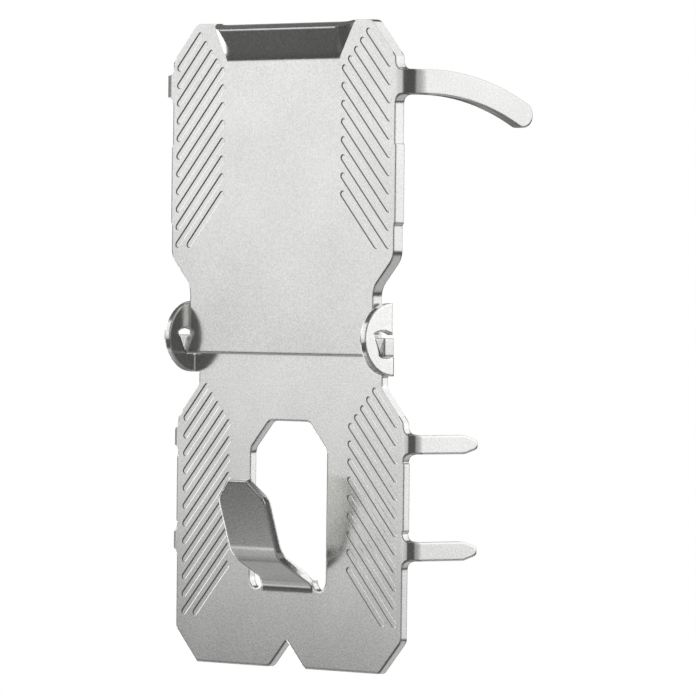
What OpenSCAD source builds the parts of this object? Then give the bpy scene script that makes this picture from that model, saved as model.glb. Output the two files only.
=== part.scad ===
// Picture hanger for plasterboard walls: two stamped steel plates joined by a tab hinge.
// Sizes are in millimetres. The wall is the plane y = 0, the front of the hanger faces -Y,
// and z = 0 is the hinge line between the lower hook plate and the upper claw plate.

/* [Hook plate] */
// Thickness of the lower sheet
hook_sheet = 1; // [0.8:0.05:1.3]
// Width of the lower plate
hook_plate_width = 44.4; // [42:0.2:48]
// Drop from the hinge line to the lower plate's bottom edge
hook_plate_drop = 40; // [38:0.5:46]
// Width of the lower plate's neck below the hinge
hook_neck_width = 36.1; // [35.6:0.1:36.4]
// Drop from the hinge line to the start of the shoulders
shoulder_drop = 4.05; // [3.6:0.05:4.6]
// Leg of the 45 degree cut on the two bottom corners
bottom_cut = 4.15; // [3:0.05:5]
// Height of the lower plate's top edge, tucked behind the claw plate
tuck = 0.4; // [0.2:0.05:0.6]
// Rounding of the lower plate's corners
corner_round = 1; // [0.6:0.1:1.4]
// Depth of the notch in the middle of the bottom edge
notch_depth = 3.5; // [2.5:0.1:4.5]
// Rounding of the notch's mouth
notch_round = 1.5; // [0.6:0.1:1.8]

/* [Window and hook] */
// Drop from the hinge line to the window's top edge
window_top_drop = 8.45; // [8:0.05:9.5]
// Width of the window
window_width = 15.15; // [14.4:0.05:16]
// Width of the window's top edge between its corner cuts
window_top_width = 7.8; // [6:0.1:10]
// Rounding of the window's upper corners
window_round = 1.4; // [0.8:0.1:1.8]
// Drop from the hinge line to the foot of the window
window_foot_drop = 30; // [29.6:0.1:30.6]
// Width of the hook at its root in the plate
hook_root_width = 9.8; // [9.4:0.1:10.4]
// Width of the hook's ramp
ramp_width = 8.4; // [7.5:0.1:9]
// Width of the hook's blade
hook_width = 9; // [8:0.1:9.3]
// Width of the blade's top edge between its corner cuts
hook_top_width = 3.6; // [2.6:0.1:5]
// Height of the corner cuts on the blade's top
hook_corner_cut = 2.25; // [1.5:0.05:3]
// Drop from the hinge line to the start of the hook's ramp
ramp_drop = 29.1; // [28.8:0.05:29.4]
// Drop from the hinge line to the knee between ramp and blade
knee_drop = 25.85; // [25:0.05:26.6]
// Distance from the wall to the front of the knee
knee_reach = 6.55; // [6:0.05:7.2]
// Drop from the hinge line to the top of the blade
blade_drop = 16; // [15:0.1:18]
// Distance from the wall to the front of the blade's top
blade_reach = 9.65; // [8.6:0.05:11]
// Height over which the hook's sides widen at the root and at the knee
ramp_flare = 0.8; // [0.5:0.1:1]
// Rounding of the blade's corners
blade_round = 1.5; // [1:0.1:1.8]
// Inside radius of the bend at the hook's knee
hook_bend = 3; // [2:0.1:4]
// Radius of the hollow where the ramp leaves the plate
ramp_hollow = 2; // [1.2:0.1:2.2]

/* [Spikes] */
// Distance over the outer faces of the spikes
spike_spread = 48.2; // [48:0.1:50]
// Width of a spike
spike_width = 2.4; // [2:0.1:3]
// Distance that the spikes reach behind the wall face
spike_reach = 9.9; // [7:0.1:11]
// Drop from the hinge line to the upper spikes
upper_spike_drop = 10.95; // [10.6:0.05:12]
// Drop from the hinge line to the lower spikes
lower_spike_drop = 24.4; // [23:0.1:27]
// Length of a spike's pointed end
spike_taper = 2.2; // [1.6:0.1:3]
// Width of the point before it is rounded
spike_point = 1.1; // [1:0.05:1.3]
// Rounding of the spikes' points
spike_round = 0.65; // [0.4:0.05:0.7]
// Inside radius of the bends that turn the spikes into the wall
side_bend = 0.9; // [0.5:0.05:1.2]
// Radius of the fillets at the roots of the spikes and claws
root_fillet = 1.1; // [0.6:0.05:1.2]

/* [Claw plate] */
// Thickness of the upper sheet
claw_sheet = 1.5; // [1.2:0.05:1.8]
// Width of the upper plate
claw_plate_width = 43.8; // [42:0.2:46]
// Height of the upper plate above the hinge line
claw_plate_rise = 42.6; // [41:0.2:46]
// Leg of the 45 degree cut on the two top corners
top_cut = 4.7; // [3.5:0.1:5]
// Width of the upper plate's neck above the hinge
claw_neck_width = 36.1; // [35.6:0.1:36.2]
// Height of the upper plate's neck
claw_neck_rise = 8.6; // [8:0.1:9.6]
// Rounding of the upper plate's top corners
top_round = 1.5; // [0.8:0.1:2]
// Rounding of the tapers between neck and plate
taper_round = 2.5; // [1.5:0.1:3]

/* [Claws] */
// Distance that each claw stands out past the spikes below it
claw_overhang = 0.9; // [0.4:0.05:1.4]
// Radius of the claws' middle line about its centre behind the hinge
claw_radius = 34.4; // [33.4:0.1:34.6]
// Distance of that centre behind the wall face
claw_centre = 0.5; // [0.4:0.1:1.6]
// Width of a claw
claw_width = 3.2; // [2.8:0.1:4]
// Angle that the claws sweep back from the upright, to the middle of the round tip
claw_sweep = 27.2; // [22:0.2:32]
// Inside radius of the bends that turn the claws into the wall
claw_bend = 1.6; // [1:0.1:1.8]

/* [Thumb ledge] */
// Height of the bend line under the ledge
ledge_rise = 37.75; // [37:0.05:38.5]
// Width of the ledge along the bend line
ledge_width = 22.1; // [18:0.1:24]
// Width over the ledge's drawn flanks at the plate's top edge
ledge_top_width = 28; // [25:0.1:30]
// Height of the steep foot above the bend line
ledge_foot = 1.15; // [0.8:0.05:1.5]
// Distance that the ledge stands forward at the top of its foot
ledge_foot_forward = 0.45; // [0.3:0.05:0.6]
// Width of the ledge's flat front at the top of its foot
ledge_front_width = 19.4; // [16:0.1:21]
// Width of the ledge's flat front at the plate's top edge
ledge_lip_width = 24; // [21:0.1:25]
// Distance that the ledge stands forward at the plate's top edge
ledge_forward = 1.3; // [0.9:0.05:1.6]
// Drop of the ledge's front lip below the plate's top edge
ledge_lip_drop = 0.95; // [0.6:0.05:1.2]

/* [Hinge] */
// Distance over the outer faces of the ears
ear_spread = 39.7; // [39.2:0.1:40.4]
// Radius of the ears
ear_radius = 4.6; // [4.4:0.1:5]
// Height of the ears' centre above the hinge line
ear_rise = 2.2; // [2.1:0.05:2.6]
// Distance that the ears' upper arms reach back past the bend
ear_tail = 0.25; // [0.1:0.05:0.4]
// Inside radius of the ears' bend
ear_bend = 0.15; // [0.1:0.05:0.25]
// Gap between the two plates where the claw plate overlaps
plate_gap = 0.2; // [0.15:0.01:0.3]
// Radius of the claw plate's rounded lower edge, which rolls in the ears
pivot_radius = 0.25; // [0.2:0.05:0.4]
// Clearance between the rounded edge and its seats
pivot_clearance = 0.05; // [0.03:0.01:0.08]
// Angle that the claw plate folds forward to its stop
fold_angle = 24; // [15:1:30]
// Height of the hinge tabs
tab_height = 2.4; // [2:0.1:2.8]
// Distance that the hinge tabs stand out of the ears
tab_proud = 0.6; // [0.3:0.05:0.8]
// Room above the hinge tabs in their windows
tab_room = 0.5; // [0.4:0.05:0.9]

/* [Pressed details] */
// Width of a rib groove at the plate's face
rib_width = 0.9; // [0.7:0.05:1.1]
// Width of each of a rib groove's sloping sides
rib_slope = 0.14; // [0.1:0.02:0.3]
// Depth of a rib groove
rib_depth = 0.1; // [0.06:0.02:0.3]
// Spacing of the rib grooves down the plate
rib_pitch = 2.29; // [2.1:0.01:2.5]
// Distance from the middle of the plate to the inner row of rib ends
rib_inner = 11.95; // [11.4:0.05:12.6]
// Distance from the middle of the plate to the outer row of rib ends
rib_outer = 20.75; // [20:0.05:21]
// Distance from the middle of the plate to the inner end of the top rib
rib_start = 16.6; // [16:0.1:17]
// Height of the upper plate's top rib at its outer end
claw_rib_rise = 36.95; // [36:0.05:37.4]
// Number of ribs down each side of the upper plate
claw_rib_count = 12; // [8:1:12]
// Drop of the lower plate's top rib at its outer end
hook_rib_drop = 8.45; // [8.2:0.05:9.5]
// Number of ribs down each side of the lower plate
hook_rib_count = 13; // [8:1:13]
// Height by which the trimmed lands stand proud of the plates' side edges
edge_land = 0.2; // [0.1:0.05:0.3]
// Drop from the claws to the upper plate's trimmed lands
land_drop = 5; // [4:0.1:6]
// Height from the upper plate's taper to its trimmed lands
land_rise = 4.2; // [3:0.1:6]

/* [Hidden] */
$fn = 48;
arc_steps = 6;
// Overlap of the forms that make up one sheet, and of cutters past the faces they cut
join = 0.5;
steel = [0.8, 0.81, 0.81];
// Rounding of the sheets' small hidden corners
edge_soft = 0.2;
// Facets round the end of a rib groove
rib_facets = 16;

claw_front = -hook_sheet - plate_gap - claw_sheet;
claw_back = -hook_sheet - plate_gap;
hinge_y = claw_front + pivot_radius;
hinge_z = pivot_radius;
seat_radius = pivot_radius + pivot_clearance;

ear_face = ear_spread / 2;
ear_back = -hook_sheet - ear_bend;
ear_y = ear_bend - hook_sheet;
tab_end = ear_face + tab_proud;
fan_radius = norm([claw_sheet - pivot_radius, tab_height - pivot_radius]) + tab_room;

shoulder_cut = (hook_plate_width - hook_neck_width) / 2;
relief_radius = (window_width - hook_root_width) / 4;
hook_root_drop = max(window_foot_drop, ramp_drop) + ramp_hollow;
claw_taper = (claw_plate_width - claw_neck_width) / 2;
claw_spread = spike_spread + 2 * claw_overhang;
claw_bend_end = claw_front + claw_sheet + claw_bend;
claw_low = hinge_z + claw_radius - claw_width / 2;
claw_high = claw_low + claw_width;
ledge_run = claw_plate_rise - ledge_rise;

// Points of an outline given as corners [x, y, rounding radius]
function unit(v) = v / norm(v);
function flat(p) = [p[0], p[1]];
function turned(v, a) = [v[0] * cos(a) - v[1] * sin(a), v[0] * sin(a) + v[1] * cos(a)];
function corner(a, b, c, r) =
    let (u = unit(a - b),
         v = unit(c - b),
         half = acos(u * v) / 2,
         middle = b + unit(u + v) * r / sin(half),
         start = b + u * r / tan(half) - middle,
         sweep = sign(cross(b - a, c - b)) * (180 - 2 * half))
    [for (i = [0:arc_steps]) middle + turned(start, sweep * i / arc_steps)];
function rounded(points) =
    let (n = len(points))
    [for (i = [0:n - 1])
        let (p = points[i])
        each p[2] > 0
            ? corner(flat(points[(i + n - 1) % n]), flat(p), flat(points[(i + 1) % n]), p[2])
            : [flat(p)]];

// The right half of an outline followed by its mirror image
function mirrored(half) = concat(half, [for (i = [len(half) - 1:-1:0])
    if (half[i][0] > 0) [-half[i][0], half[i][1], half[i][2]]]);

// The corner of a sheet's other face, where two bends of one sheet meet
function across(p, m, n, sheet) = p + sheet * (m + n) / (1 + m * n);

// Points of an arc in the side view, from one angle to another off the upright
function arc(centre, radius, from, to) = [for (i = [0:2 * arc_steps])
    let (a = from + (to - from) * i / (2 * arc_steps))
    centre + radius * [sin(a), cos(a)]];

// A front view drawn in x and z, as a sheet from y_back forwards
module front_sheet(y_back, sheet) {
    translate([0, y_back, 0])
        rotate([90, 0, 0])
            linear_extrude(sheet)
                children();
}

// A side view drawn in y and z, as a sheet from x_from outwards
module side_sheet(x_from, sheet) {
    translate([x_from, 0, 0])
        rotate([90, 0, 90])
            linear_extrude(sheet)
                children();
}

module both_sides() {
    children();
    mirror([1, 0, 0])
        children();
}

// Plan of a sheet that runs out along the plate and turns through a quarter bend
module bent_plan(x_from, x_face, sheet, bend) {
    centre = x_face - sheet - bend;
    translate([x_from, 0])
        square([centre - x_from, sheet]);
    translate([centre, sheet + bend])
        intersection() {
            difference() {
                circle(sheet + bend);
                circle(bend);
            }
            translate([0, -sheet - bend])
                square(sheet + bend);
        }
}

// Root of a spike or claw: a strip of the plate turned back towards the wall, with fillets
module turned_root(edge, x_face, y_front, sheet, bend, z_low, z_high) {
    fillet_x = edge + root_fillet;
    far = x_face - fillet_x + join;
    difference() {
        translate([0, y_front, z_low - root_fillet])
            linear_extrude(z_high - z_low + 2 * root_fillet)
                bent_plan(edge - join, x_face, sheet, bend);
        for (z = [z_low - root_fillet, z_high + root_fillet])
            translate([fillet_x, y_front - join, z])
                rotate([-90, 0, 0])
                    cylinder(r = root_fillet, h = sheet + bend + 2 * join);
        for (z = [z_low - root_fillet - join, z_high])
            translate([fillet_x, y_front - join, z])
                cube([far, sheet + bend + 2 * join, root_fillet + join]);
    }
}

// Cutter for one rib groove along x, with sloping sides and ends, open towards +z
module groove(length) {
    floor_half = rib_width / 2 - rib_slope;
    open_half = rib_width / 2 + rib_slope;
    open = 2 * rib_depth;
    side_sheet(-length / 2, length)
        polygon([[-floor_half, 0], [floor_half, 0], [open_half, open], [-open_half, open]]);
    for (end = [-1, 1])
        translate([end * length / 2, 0, 0])
            cylinder(r1 = floor_half, r2 = open_half, h = open, $fn = rib_facets);
}

// Rib grooves on one side of a plate whose front is at y_front, each running down and out at 45 degrees
module ribs(y_front, z_first, count) {
    z_low = z_first - (count - 2) * rib_pitch;
    for (i = [0:count - 1]) {
        total = rib_outer + z_first - i * rib_pitch;
        x_in = max(rib_inner, rib_start - i * rib_pitch / 2);
        x_out = min(rib_outer, total - z_low);
        middle = (x_in + x_out) / 2;
        translate([middle, y_front + rib_depth, total - middle])
            rotate([90, 45, 0])
                groove((x_out - x_in) * sqrt(2));
    }
}

// Ear outline in the side view
module ear_disc() {
    translate([ear_y, ear_rise])
        circle(ear_radius);
}

// Window in an ear: a seat for the rounded edge, opening into a fan that ends the fold
module tab_window() {
    reach = 2 * fan_radius;
    touch = seat_radius * [-cos(fold_angle), -sin(fold_angle)];
    translate([hinge_y, hinge_z]) {
        circle(seat_radius);
        intersection() {
            circle(fan_radius);
            polygon([touch, touch + reach * [-sin(fold_angle), cos(fold_angle)], [reach, reach],
                [reach, -seat_radius], [0, -seat_radius], [0, 0]]);
        }
    }
}

module hook_plate_outline() {
    half = hook_plate_width / 2;
    neck = hook_neck_width / 2;
    land_high = upper_spike_drop + spike_width / 2 + root_fillet;
    land_low = lower_spike_drop - spike_width / 2 - root_fillet;
    polygon(rounded(mirrored([
        [neck, tuck, edge_soft],
        [neck, -shoulder_drop, corner_round],
        [half, -shoulder_drop - shoulder_cut, corner_round],
        [half, -land_high, 0],
        [half + edge_land, -land_high - edge_land, 0],
        [half + edge_land, -land_low + edge_land, 0],
        [half, -land_low, 0],
        [half, bottom_cut - hook_plate_drop, corner_round],
        [half - bottom_cut, -hook_plate_drop, corner_round],
        [notch_depth, -hook_plate_drop, notch_round],
        [0, notch_depth - hook_plate_drop, 0]])));
}

module hook_window() {
    wide = window_width / 2;
    top = window_top_width / 2;
    relief = relief_radius - window_foot_drop;
    polygon(rounded(mirrored([
        [top, -window_top_drop, window_round],
        [wide, -window_top_drop - wide + top, window_round],
        [wide, relief, 0]])));
    for (side = [-1, 1])
        translate([side * (wide - relief_radius), relief])
            circle(relief_radius);
    translate([-hook_root_width / 2, -window_foot_drop])
        square([hook_root_width, relief_radius + join]);
}

// Side view of the hook: out of the plate, up the ramp and up the blade
module hook_side() {
    foot = [-hook_sheet, -ramp_drop];
    knee = [-knee_reach, -knee_drop];
    tip = [-blade_reach, -blade_drop];
    ramp = unit(knee - foot);
    blade = unit(tip - knee);
    ramp_normal = [ramp[1], -ramp[0]];
    blade_normal = [blade[1], -blade[0]];
    polygon(rounded([
        [foot[0], -hook_root_drop, 0],
        [foot[0], foot[1], ramp_hollow],
        [knee[0], knee[1], hook_bend + hook_sheet],
        [tip[0], tip[1], 0],
        concat(tip + hook_sheet * blade_normal, [0]),
        concat(across(knee, ramp_normal, blade_normal, hook_sheet), [hook_bend]),
        concat(across(foot, [1, 0], ramp_normal, hook_sheet), [ramp_hollow + hook_sheet]),
        [0, -hook_root_drop, 0]]));
}

module hook_front() {
    flare = min(ramp_flare, (ramp_drop - knee_drop) / 2);
    polygon(rounded(mirrored([
        [hook_root_width / 2, -hook_root_drop, 0],
        [hook_root_width / 2, -ramp_drop, 0],
        [ramp_width / 2, -ramp_drop + flare, flare],
        [ramp_width / 2, -knee_drop, flare],
        [hook_width / 2, -knee_drop + ramp_flare, blade_round],
        [hook_width / 2, -blade_drop - hook_corner_cut, blade_round],
        [hook_top_width / 2, -blade_drop, blade_round / 2],
        [hook_top_width / 2, -blade_drop + join, 0]])));
}

module hook_arm() {
    intersection() {
        side_sheet(-hook_root_width / 2, hook_root_width)
            hook_side();
        front_sheet(join, blade_reach + 2 * join)
            hook_front();
    }
}

module spike(drop) {
    face = spike_spread / 2;
    y_start = side_bend;
    turned_root(hook_plate_width / 2, face, -hook_sheet, hook_sheet, side_bend,
        -drop - spike_width / 2, -drop + spike_width / 2);
    side_sheet(face - hook_sheet, hook_sheet)
        translate([0, -drop])
            polygon(rounded([
                [y_start, -spike_width / 2, 0],
                [spike_reach - spike_taper, -spike_width / 2, 2 * spike_round],
                [spike_reach, -spike_point / 2, spike_round],
                [spike_reach, spike_point / 2, spike_round],
                [spike_reach - spike_taper, spike_width / 2, 2 * spike_round],
                [y_start, spike_width / 2, 0]]));
}

// Ear of the lower plate: bent forward beside the neck, with the window that holds the tab
module ear() {
    strip_low = ear_rise - ear_radius;
    translate([0, 0, strip_low])
        linear_extrude(hinge_z - seat_radius - strip_low)
            mirror([0, 1])
                bent_plan(hook_neck_width / 2 - join, ear_face, hook_sheet, ear_bend);
    side_sheet(ear_face - hook_sheet, hook_sheet)
        difference() {
            intersection() {
                ear_disc();
                union() {
                    translate([ear_back - 2 * ear_radius, strip_low])
                        square(2 * ear_radius);
                    translate([ear_back - join, ear_rise])
                        square([join + ear_tail, 2 * ear_radius]);
                }
            }
            tab_window();
        }
}

module claw_plate_outline() {
    half = claw_plate_width / 2;
    neck = claw_neck_width / 2;
    land_high = claw_low - root_fillet - land_drop;
    land_low = claw_neck_rise + claw_taper + land_rise;
    polygon(rounded(mirrored([
        [tab_end, 0, edge_soft],
        [tab_end, tab_height, edge_soft],
        [neck, tab_height, 0],
        [neck, claw_neck_rise, taper_round],
        [half, claw_neck_rise + claw_taper, taper_round],
        [half, land_low, 0],
        [half + edge_land, land_low + edge_land, 0],
        [half + edge_land, land_high - edge_land, 0],
        [half, land_high, 0],
        [half, claw_plate_rise - top_cut, top_round / 2],
        [half - top_cut, claw_plate_rise, top_round]])));
}

// Upright sheet whose lower front edge is the rounded edge that the hinge turns on
module claw_sheet_side() {
    translate([hinge_y, hinge_z])
        circle(pivot_radius);
    translate([hinge_y, 0])
        square([claw_back - hinge_y, claw_plate_rise]);
    translate([claw_front, hinge_z])
        square([claw_sheet, claw_plate_rise]);
}

// Drawn form of the ledge on a face at y: a steep foot, then a front that leans out up to the lip
module ledge_form(y) {
    z_foot = ledge_rise + ledge_foot;
    z_top = claw_plate_rise + ledge_foot;
    grown = (z_top - z_foot) / (claw_plate_rise - z_foot);
    low = ledge_width / 2;
    spread = (ledge_top_width - ledge_width) / 2 / ledge_run;
    mid = low + spread * ledge_foot;
    high = low + spread * (z_top - ledge_rise);
    front_low = ledge_front_width / 2;
    front_high = front_low + (ledge_lip_width - ledge_front_width) / 2 * grown;
    y_foot = y - ledge_foot_forward;
    y_top = y_foot - (ledge_forward - ledge_foot_forward) * grown;
    polyhedron(
        points = [[-low, y, ledge_rise], [low, y, ledge_rise], [mid, y, z_foot], [high, y, z_top],
            [-high, y, z_top], [-mid, y, z_foot], [-front_low, y_foot, z_foot],
            [front_low, y_foot, z_foot], [front_high, y_top, z_top], [-front_high, y_top, z_top]],
        faces = [[0, 1, 2, 3, 4, 5], [0, 6, 7, 1], [6, 9, 8, 7], [4, 3, 8, 9],
            [1, 7, 2], [2, 7, 8], [2, 8, 3], [0, 5, 6], [5, 9, 6], [5, 4, 9]]);
}

// End of the ledge's leaning sheet, which comes out a little lower than the plate beside it
module ledge_trim() {
    end_lean = atan(ledge_lip_drop / (claw_sheet + ledge_foot_forward));
    reach = 2 * ledge_forward;
    translate([-ledge_top_width / 2, claw_front - ledge_forward, claw_plate_rise - ledge_lip_drop])
        rotate([end_lean, 0, 0])
            translate([0, -reach, 0])
                cube([ledge_top_width, 2 * reach, reach]);
    translate([-claw_plate_width / 2, claw_front - reach, claw_plate_rise])
        cube([claw_plate_width, claw_sheet + 2 * reach, reach]);
}

// Claw: turned back at the plate's edge, then curved down so that it slices into the wall
module claw() {
    face = claw_spread / 2;
    centre = [claw_centre, hinge_z];
    tip = centre + claw_radius * [sin(claw_sweep), cos(claw_sweep)];
    turned_root(claw_plate_width / 2, face, claw_front, claw_sheet, claw_bend, claw_low, claw_high);
    side_sheet(face - claw_sheet, claw_sheet)
        polygon(concat(
            [[claw_bend_end, claw_low], [claw_bend_end, claw_high]],
            arc(centre, claw_radius + claw_width / 2, 0, claw_sweep),
            arc(tip, claw_width / 2, claw_sweep, claw_sweep + 180),
            arc(centre, claw_radius - claw_width / 2, claw_sweep, 0)));
}

module hook_plate() {
    color(steel) {
        difference() {
            front_sheet(0, hook_sheet)
                difference() {
                    hook_plate_outline();
                    hook_window();
                }
            both_sides()
                ribs(-hook_sheet, -hook_rib_drop, hook_rib_count);
        }
        hook_arm();
        both_sides() {
            spike(upper_spike_drop);
            spike(lower_spike_drop);
            ear();
        }
    }
}

module claw_plate() {
    color(steel) {
        difference() {
            union() {
                intersection() {
                    front_sheet(claw_back, claw_sheet)
                        claw_plate_outline();
                    side_sheet(-tab_end - claw_plate_width, 2 * (tab_end + claw_plate_width))
                        claw_sheet_side();
                }
                ledge_form(claw_front);
            }
            ledge_form(claw_back);
            ledge_trim();
            both_sides()
                ribs(claw_front, claw_rib_rise, claw_rib_count);
        }
        both_sides()
            claw();
    }
}

hook_plate();
claw_plate();
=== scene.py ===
import math

import bpy
from mathutils import Matrix, Vector


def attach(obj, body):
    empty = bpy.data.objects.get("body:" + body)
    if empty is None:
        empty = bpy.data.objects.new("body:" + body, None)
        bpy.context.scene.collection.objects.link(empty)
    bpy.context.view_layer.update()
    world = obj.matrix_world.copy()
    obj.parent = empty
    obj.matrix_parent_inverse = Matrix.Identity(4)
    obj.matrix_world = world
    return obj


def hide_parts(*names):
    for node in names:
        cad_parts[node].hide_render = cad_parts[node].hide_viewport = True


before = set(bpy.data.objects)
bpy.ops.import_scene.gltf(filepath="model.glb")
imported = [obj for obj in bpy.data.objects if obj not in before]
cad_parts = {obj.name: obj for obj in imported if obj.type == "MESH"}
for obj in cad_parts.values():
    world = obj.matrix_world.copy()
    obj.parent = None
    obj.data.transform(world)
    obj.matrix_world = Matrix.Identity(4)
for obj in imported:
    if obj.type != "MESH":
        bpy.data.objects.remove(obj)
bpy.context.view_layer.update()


# Hook plate: the lower stamping, cut and pressed from 1 mm steel sheet and zinc plated after forming.
# Its hook is lanced out of the window and its spikes are turned back into the wall.
# The press leaves the sheared edges slightly rolled over, and the rib grooves crisper than those.
mm = 0.001
edge_roll = 0.07 * mm
rim_roll = 0.4 * mm
rib_roll = 0.06 * mm
rib_aside = 16.35 * mm
rib_half_width = 5.0 * mm
rib_half_height = 15.3 * mm
hook_rib_middle = -19.0 * mm
merge_gap = 0.002 * mm
flat_turn = math.radians(2)
edge_turn = math.radians(38)
bend_turn = math.radians(16.5)
speckle_scale = 4200.0
cloud_scale = 90.0
noise_span = (0.3, 0.7)
dull_zinc = (0.70, 0.70, 0.685, 1.0)
bright_zinc = (0.77, 0.77, 0.755, 1.0)
fleck_share = (0.87, 1.13)
satin_roughness = (0.12, 0.22)
grain_strength = 0.15
grain_depth = 0.02 * mm
# Painted light: the hook plate's zinc colour is drawn a tenth brighter than the same zinc on the claw
# plate, which stays at its plain colour.
hook_painted_light = 1.1


def plated_steel(name, grain_seed, painted_light_share, rib_middle):
    """Satin zinc plate on steel: fine speckle over faint clouds, brightened as a whole by painted light,
    with soft rims and crisp ribs.
    """
    material = bpy.data.materials.new(name)
    material.use_nodes = True
    nodes = material.node_tree.nodes
    links = material.node_tree.links
    shader = nodes["Principled BSDF"]
    shader.inputs["Metallic"].default_value = 1.0

    place = nodes.new("ShaderNodeTexCoord")
    shift = nodes.new("ShaderNodeMapping")
    shift.inputs["Location"].default_value = (grain_seed, 0.0, 0.0)
    links.new(place.outputs["Object"], shift.inputs["Vector"])

    speckle = nodes.new("ShaderNodeTexNoise")
    speckle.inputs["Scale"].default_value = speckle_scale
    speckle.inputs["Detail"].default_value = 4.0
    links.new(shift.outputs["Vector"], speckle.inputs["Vector"])

    cloud = nodes.new("ShaderNodeTexNoise")
    cloud.inputs["Scale"].default_value = cloud_scale
    cloud.inputs["Detail"].default_value = 3.0
    links.new(shift.outputs["Vector"], cloud.inputs["Vector"])

    tone = nodes.new("ShaderNodeValToRGB")
    for stop, position, colour in zip(tone.color_ramp.elements, noise_span, (dull_zinc, bright_zinc)):
        stop.position = position
        stop.color = colour
    links.new(cloud.outputs["Fac"], tone.inputs["Fac"])

    # The speckled colour is also scaled as a whole by the plate's share of painted light.
    fleck = nodes.new("ShaderNodeMapRange")
    fleck.inputs["From Min"].default_value = noise_span[0]
    fleck.inputs["From Max"].default_value = noise_span[1]
    fleck.inputs["To Min"].default_value = fleck_share[0] * painted_light_share
    fleck.inputs["To Max"].default_value = fleck_share[1] * painted_light_share
    links.new(speckle.outputs["Fac"], fleck.inputs["Value"])
    flecked = nodes.new("ShaderNodeVectorMath")
    flecked.operation = "SCALE"
    links.new(tone.outputs["Color"], flecked.inputs[0])
    links.new(fleck.outputs["Result"], flecked.inputs["Scale"])
    links.new(flecked.outputs["Vector"], shader.inputs["Base Color"])

    gloss = nodes.new("ShaderNodeMapRange")
    gloss.inputs["To Min"].default_value = satin_roughness[0]
    gloss.inputs["To Max"].default_value = satin_roughness[1]
    links.new(speckle.outputs["Fac"], gloss.inputs["Value"])
    links.new(gloss.outputs["Result"], shader.inputs["Roughness"])

    spot = nodes.new("ShaderNodeSeparateXYZ")
    links.new(place.outputs["Object"], spot.inputs["Vector"])
    aside = nodes.new("ShaderNodeMath")
    aside.operation = "ABSOLUTE"
    links.new(spot.outputs["X"], aside.inputs[0])
    across_ribs = nodes.new("ShaderNodeMath")
    across_ribs.operation = "COMPARE"
    across_ribs.inputs[1].default_value = rib_aside
    across_ribs.inputs[2].default_value = rib_half_width
    links.new(aside.outputs["Value"], across_ribs.inputs[0])
    along_ribs = nodes.new("ShaderNodeMath")
    along_ribs.operation = "COMPARE"
    along_ribs.inputs[1].default_value = rib_middle
    along_ribs.inputs[2].default_value = rib_half_height
    links.new(spot.outputs["Z"], along_ribs.inputs[0])
    ribbed = nodes.new("ShaderNodeMath")
    ribbed.operation = "MULTIPLY"
    links.new(across_ribs.outputs["Value"], ribbed.inputs[0])
    links.new(along_ribs.outputs["Value"], ribbed.inputs[1])
    roll_radius = nodes.new("ShaderNodeMapRange")
    roll_radius.inputs["To Min"].default_value = rim_roll
    roll_radius.inputs["To Max"].default_value = rib_roll
    links.new(ribbed.outputs["Value"], roll_radius.inputs["Value"])
    rolled = nodes.new("ShaderNodeBevel")
    rolled.samples = 8
    links.new(roll_radius.outputs["Result"], rolled.inputs["Radius"])
    grain = nodes.new("ShaderNodeBump")
    grain.inputs["Strength"].default_value = grain_strength
    grain.inputs["Distance"].default_value = grain_depth
    links.new(speckle.outputs["Fac"], grain.inputs["Height"])
    links.new(rolled.outputs["Normal"], grain.inputs["Normal"])
    links.new(grain.outputs["Normal"], shader.inputs["Normal"])
    return material


def pressed_copy(node, name):
    """A copy of a stamping's solid with its flat faces made whole and its sheared edges rolled a little."""
    bpy.ops.object.select_all(action="DESELECT")
    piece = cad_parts[node].copy()
    piece.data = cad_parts[node].data.copy()
    piece.name = name
    piece.data.name = name
    piece.parent = None
    piece.matrix_world = Matrix.Identity(4)
    piece.data.materials.clear()
    bpy.context.scene.collection.objects.link(piece)
    bpy.context.view_layer.objects.active = piece
    piece.select_set(True)
    bpy.ops.object.mode_set(mode="EDIT")
    bpy.ops.mesh.select_all(action="SELECT")
    bpy.ops.mesh.remove_doubles(threshold=merge_gap)
    bpy.ops.mesh.dissolve_limited(angle_limit=flat_turn, delimit=set())
    bpy.ops.mesh.normals_make_consistent(inside=False)
    bpy.ops.object.mode_set(mode="OBJECT")
    roll = piece.modifiers.new("edge roll", "BEVEL")
    roll.width = edge_roll
    roll.segments = 2
    roll.limit_method = "ANGLE"
    roll.angle_limit = edge_turn
    roll.use_clamp_overlap = True
    bpy.ops.object.modifier_apply(modifier=roll.name)
    bpy.ops.object.shade_smooth_by_angle(angle=bend_turn)
    for face in piece.data.polygons:
        if abs(face.normal.y) > math.cos(flat_turn):
            face.use_smooth = False
    flats = piece.modifiers.new("flat faces", "WEIGHTED_NORMAL")
    flats.mode = "FACE_AREA"
    flats.weight = 100
    flats.keep_sharp = True
    bpy.ops.object.modifier_apply(modifier=flats.name)
    return piece


hook_plate = pressed_copy("hook_plate", "hook_plate_pressed")
# The hook plate's zinc gets painted light: its colour is drawn brighter than the claw plate's.
hook_plate.data.materials.append(plated_steel("hook plate zinc", 0.0, hook_painted_light, hook_rib_middle))
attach(hook_plate, "hook_plate")
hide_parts("hook_plate")


# Claw plate: the upper stamping, from 1.5 mm sheet with the same zinc finish.
# Its claws curve about a line close to the hinge, and slice into the wall as it is pushed flat.
# Its tabs sit in the windows of the hook plate's ears and are the hinge pin.
claw_rib_middle = 27.5 * mm
claw_painted_light = 1.0
claw_grain_seed = 0.13
claw_plate = pressed_copy("claw_plate", "claw_plate_pressed")
claw_plate.data.materials.append(
    plated_steel("claw plate zinc", claw_grain_seed, claw_painted_light, claw_rib_middle))
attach(claw_plate, "claw_plate")
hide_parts("claw_plate")


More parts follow.
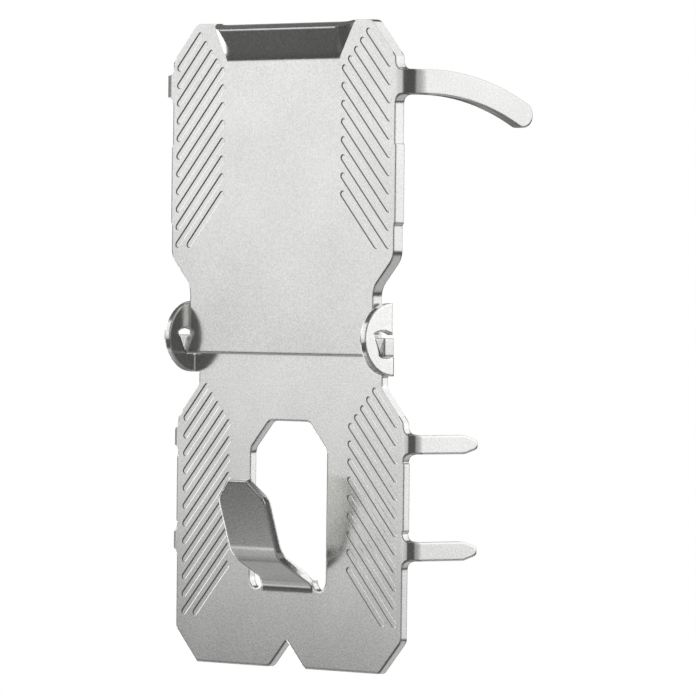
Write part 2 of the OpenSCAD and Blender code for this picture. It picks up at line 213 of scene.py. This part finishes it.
# Floor: a plain pale disc a little way below the hanger, which hangs on no wall here.
# It is matt, and the bright sheets don't mirror it.
floor_drop = 0.1
floor_radius = 0.9
pale_paper = (0.86, 0.86, 0.86, 1.0)
bpy.ops.object.select_all(action="DESELECT")
bpy.ops.mesh.primitive_circle_add(vertices=96, radius=floor_radius, fill_type="NGON",
                                  location=(0.0, 0.0, -floor_drop))
floor = bpy.context.active_object
floor.name = "floor"
floor_paper = bpy.data.materials.new("floor paper")
floor_paper.use_nodes = True
floor_shader = floor_paper.node_tree.nodes["Principled BSDF"]
floor_shader.inputs["Base Color"].default_value = pale_paper
floor_shader.inputs["Roughness"].default_value = 0.9
floor.data.materials.append(floor_paper)
floor.visible_glossy = False


# Studio: white walls at the left and behind to the right, and a dark room towards the viewer.
# Bright metal shows its surroundings, so these shade the edges, bends, ribs and ears.
# Each wall: the angle off the front, round from behind at the left, and its light low down and high up.
walls = ((-180, 1.1, 1.1), (-170, 0.12, 0.6), (-92, 0.12, 0.6), (-84, 1.35, 1.35), (-58, 1.35, 1.35),
         (-50, 1.0, 0.9), (-36, 0.9, 0.25), (-6, 0.8, 0.25), (1, 0.1, 0.1), (54, 0.1, 0.1), (62, 0.5, 0.5),
         (80, 0.6, 0.6), (102, 0.95, 0.95), (112, 1.25, 1.25), (165, 1.25, 1.25), (180, 1.1, 1.1))
low_down = 1
high_up = 2
brightest = 1.35
crown = 1.1
dark_band = 0.1
floor_left = 0.45
floor_right = 0.35
floor_side = 0.2
floor_back = 0.55
left_lit = 1.9
left_dark = 0.25
# Where one light gives way to the next, as shares of a direction's reach along one axis.
wall_rise = (0.2, 0.42)
ceiling_rise = (0.4, 0.47)
crown_start = (-0.3, -0.1)
ceiling_back = (0.2, 0.5)
left_front = (-0.65, -0.45)
right_front = (0.1, 0.35)
floor_middle = (-0.3, 0.3)
floor_far = (0.42, 0.6)
floor_rise = (-0.48, -0.28)
wall_foot = (-0.11, -0.01)
level_strip = (0.05, 0.13)
left_end = (-0.92, -0.84)
left_skew = 0.1
world = bpy.data.worlds.new("studio")
bpy.context.scene.world = world
world.use_nodes = True
room_nodes = world.node_tree.nodes
room_links = world.node_tree.links
room = room_nodes["Background"]
room.inputs["Color"].default_value = (1.0, 1.0, 1.0, 1.0)
ray = room_nodes.new("ShaderNodeLightPath")
way = room_nodes.new("ShaderNodeTexCoord")
parts = room_nodes.new("ShaderNodeSeparateXYZ")
room_links.new(way.outputs["Generated"], parts.inputs["Vector"])
rightward = parts.outputs["X"]
backward = parts.outputs["Y"]
upward = parts.outputs["Z"]


def joined(operation, first, second):
    """Two values put together by a sum of one kind."""
    sum_node = room_nodes.new("ShaderNodeMath")
    sum_node.operation = operation
    for socket, value in zip(sum_node.inputs, (first, second)):
        if isinstance(value, float):
            socket.default_value = value
        else:
            room_links.new(value, socket)
    return sum_node.outputs["Value"]


def fade(value, stretch, before, after):
    """A smooth change from one light to the next over a stretch of a value."""
    step = room_nodes.new("ShaderNodeMapRange")
    step.interpolation_type = "SMOOTHSTEP"
    step.inputs["From Min"].default_value = stretch[0]
    step.inputs["From Max"].default_value = stretch[1]
    for socket, level in (("To Min", before), ("To Max", after)):
        if isinstance(level, float):
            step.inputs[socket].default_value = level
        else:
            room_links.new(level, step.inputs[socket])
    room_links.new(value, step.inputs["Value"])
    return step.outputs["Result"]


frontward = joined("MULTIPLY", backward, -1.0)
round_angle = joined("ARCTAN2", rightward, frontward)
place_round = joined("ADD", joined("DIVIDE", round_angle, 2.0 * math.pi), 0.5)


def wall_round(height):
    """The walls' light round the hanger, low down or high up."""
    ramp = room_nodes.new("ShaderNodeValToRGB")
    ramp.color_ramp.elements.remove(ramp.color_ramp.elements[1])
    for number, wall in enumerate(walls):
        spot = wall[0] / 360.0 + 0.5
        stop = ramp.color_ramp.elements[0] if number == 0 else ramp.color_ramp.elements.new(spot)
        stop.position = spot
        shade = wall[height] / brightest
        stop.color = (shade, shade, shade, 1.0)
    room_links.new(place_round, ramp.inputs["Fac"])
    return joined("MULTIPLY", ramp.outputs["Color"], brightest)


side_light = fade(upward, wall_rise, wall_round(low_down), wall_round(high_up))
back_top = fade(rightward, crown_start, dark_band, crown)
top_light = fade(backward, ceiling_back, side_light, back_top)
upper_light = fade(rightward, left_front, dark_band, top_light)
wall_light = fade(upward, ceiling_rise, side_light, upper_light)
front_left = fade(rightward, left_front, floor_left, dark_band)
front_floor = fade(rightward, right_front, front_left, floor_right)
near_floor = fade(backward, floor_middle, front_floor, floor_side)
floor_light = fade(backward, floor_far, near_floor, floor_back)
under_light = fade(upward, floor_rise, floor_light, dark_band)
room_light = fade(upward, wall_foot, under_light, wall_light)
off_level = joined("ABSOLUTE", upward, 0.0)
left_light = fade(off_level, level_strip, left_dark, left_lit)
leftward = joined("SUBTRACT", rightward, joined("MULTIPLY", backward, left_skew))
surroundings = fade(leftward, left_end, left_light, room_light)
seen = joined("MAXIMUM", surroundings, ray.outputs["Is Camera Ray"])
room_links.new(seen, room.inputs["Strength"])


# Softbox: one broad lit card at the left front, which the flat plates mirror.
# It dims downwards, so the plates darken towards the bottom and the ledge shows its dark part.
# It is lit again at its lower end, which the hook's blade mirrors towards the knee.
card_left = 0.16
card_right = 0.14
card_top = 0.5
card_low = -0.45
card_distance = 0.7
card_levels = ((-0.41, 0.85), (-0.318, 0.02), (-0.24, 0.12), (-0.1, 0.11), (-0.085, 0.18), (-0.0715, 0.36),
               (-0.0576, 0.62), (-0.0337, 0.79), (-0.0148, 0.84), (-0.0037, 0.8), (0.0042, 0.86),
               (0.032, 1.14), (0.0607, 1.03))
card_slope = 0.28
card_turn = math.radians(-49.2)
card_tall = card_top - card_low
card_height = (card_top + card_low) / 2
side_step = (card_right - card_left) / 2
bpy.ops.object.select_all(action="DESELECT")
bpy.ops.mesh.primitive_plane_add(size=1.0)
softbox = bpy.context.active_object
softbox.name = "softbox"
softbox.scale = (card_left + card_right, card_tall, 1.0)
bpy.ops.object.transform_apply(location=False, rotation=False, scale=True)
softbox.location = (math.sin(card_turn) * card_distance + math.cos(card_turn) * side_step,
                    -math.cos(card_turn) * card_distance + math.sin(card_turn) * side_step, card_height)
softbox.rotation_euler = (math.pi / 2, 0.0, card_turn)
card_light = bpy.data.materials.new("softbox light")
card_light.use_nodes = True
card_nodes = card_light.node_tree.nodes
card_links = card_light.node_tree.links
card_nodes.remove(card_nodes["Principled BSDF"])
glow = card_nodes.new("ShaderNodeEmission")
card_place = card_nodes.new("ShaderNodeTexCoord")
card_parts = card_nodes.new("ShaderNodeSeparateXYZ")
card_slant = card_nodes.new("ShaderNodeMath")
card_slant.operation = "MULTIPLY_ADD"
card_slant.inputs[1].default_value = card_slope
card_span = card_nodes.new("ShaderNodeMapRange")
card_span.inputs["From Min"].default_value = card_low - card_height
card_span.inputs["From Max"].default_value = card_top - card_height
card_ramp = card_nodes.new("ShaderNodeValToRGB")
card_ramp.color_ramp.elements.remove(card_ramp.color_ramp.elements[1])
for number, (height, share) in enumerate(card_levels):
    spot = (height - card_low) / card_tall
    stop = card_ramp.color_ramp.elements[0] if number == 0 else card_ramp.color_ramp.elements.new(spot)
    stop.position = spot
    stop.color = (share, share, share, 1.0)
card_links.new(card_place.outputs["Object"], card_parts.inputs["Vector"])
card_links.new(card_parts.outputs["X"], card_slant.inputs[0])
card_links.new(card_parts.outputs["Y"], card_slant.inputs[2])
card_links.new(card_slant.outputs["Value"], card_span.inputs["Value"])
card_links.new(card_span.outputs["Result"], card_ramp.inputs["Fac"])
card_links.new(card_ramp.outputs["Color"], glow.inputs["Strength"])
card_links.new(glow.outputs["Emission"], card_nodes["Material Output"].inputs["Surface"])
softbox.data.materials.append(card_light)
softbox.visible_camera = False


# Camera: the viewpoint of the photo, almost a metre from the hanger and off to its right.
# It was worked out from pairs of rib ends, which lie level with each other on the two sides.
camera_turn = math.radians(49.2)
camera_rise = math.radians(0.449)
camera_roll = math.radians(0.655)
camera_far = 951.4 * mm
camera_aim = Vector((10.236, 0.0, 1.051)) * mm
photo_width = 696.0
photo_focal = 7492.0
camera_data = bpy.data.cameras.new("camera")
camera_data.sensor_width = 36.0
camera_data.lens = camera_data.sensor_width * photo_focal / photo_width
camera_data.clip_end = 10.0
camera = bpy.data.objects.new("camera", camera_data)
ahead = Vector((-math.sin(camera_turn) * math.cos(camera_rise),
                math.cos(camera_turn) * math.cos(camera_rise),
                -math.sin(camera_rise)))
level = Vector((math.cos(camera_turn), math.sin(camera_turn), 0.0))
upright = level.cross(ahead)
right = level * math.cos(camera_roll) + upright * math.sin(camera_roll)
up = upright * math.cos(camera_roll) - level * math.sin(camera_roll)
turn = Matrix((right, up, -ahead)).transposed()
camera.matrix_world = Matrix.Translation(camera_aim - ahead * camera_far) @ turn.to_4x4()
bpy.context.scene.collection.objects.link(camera)
bpy.context.scene.camera = camera
bpy.context.scene.view_settings.view_transform = "Standard"
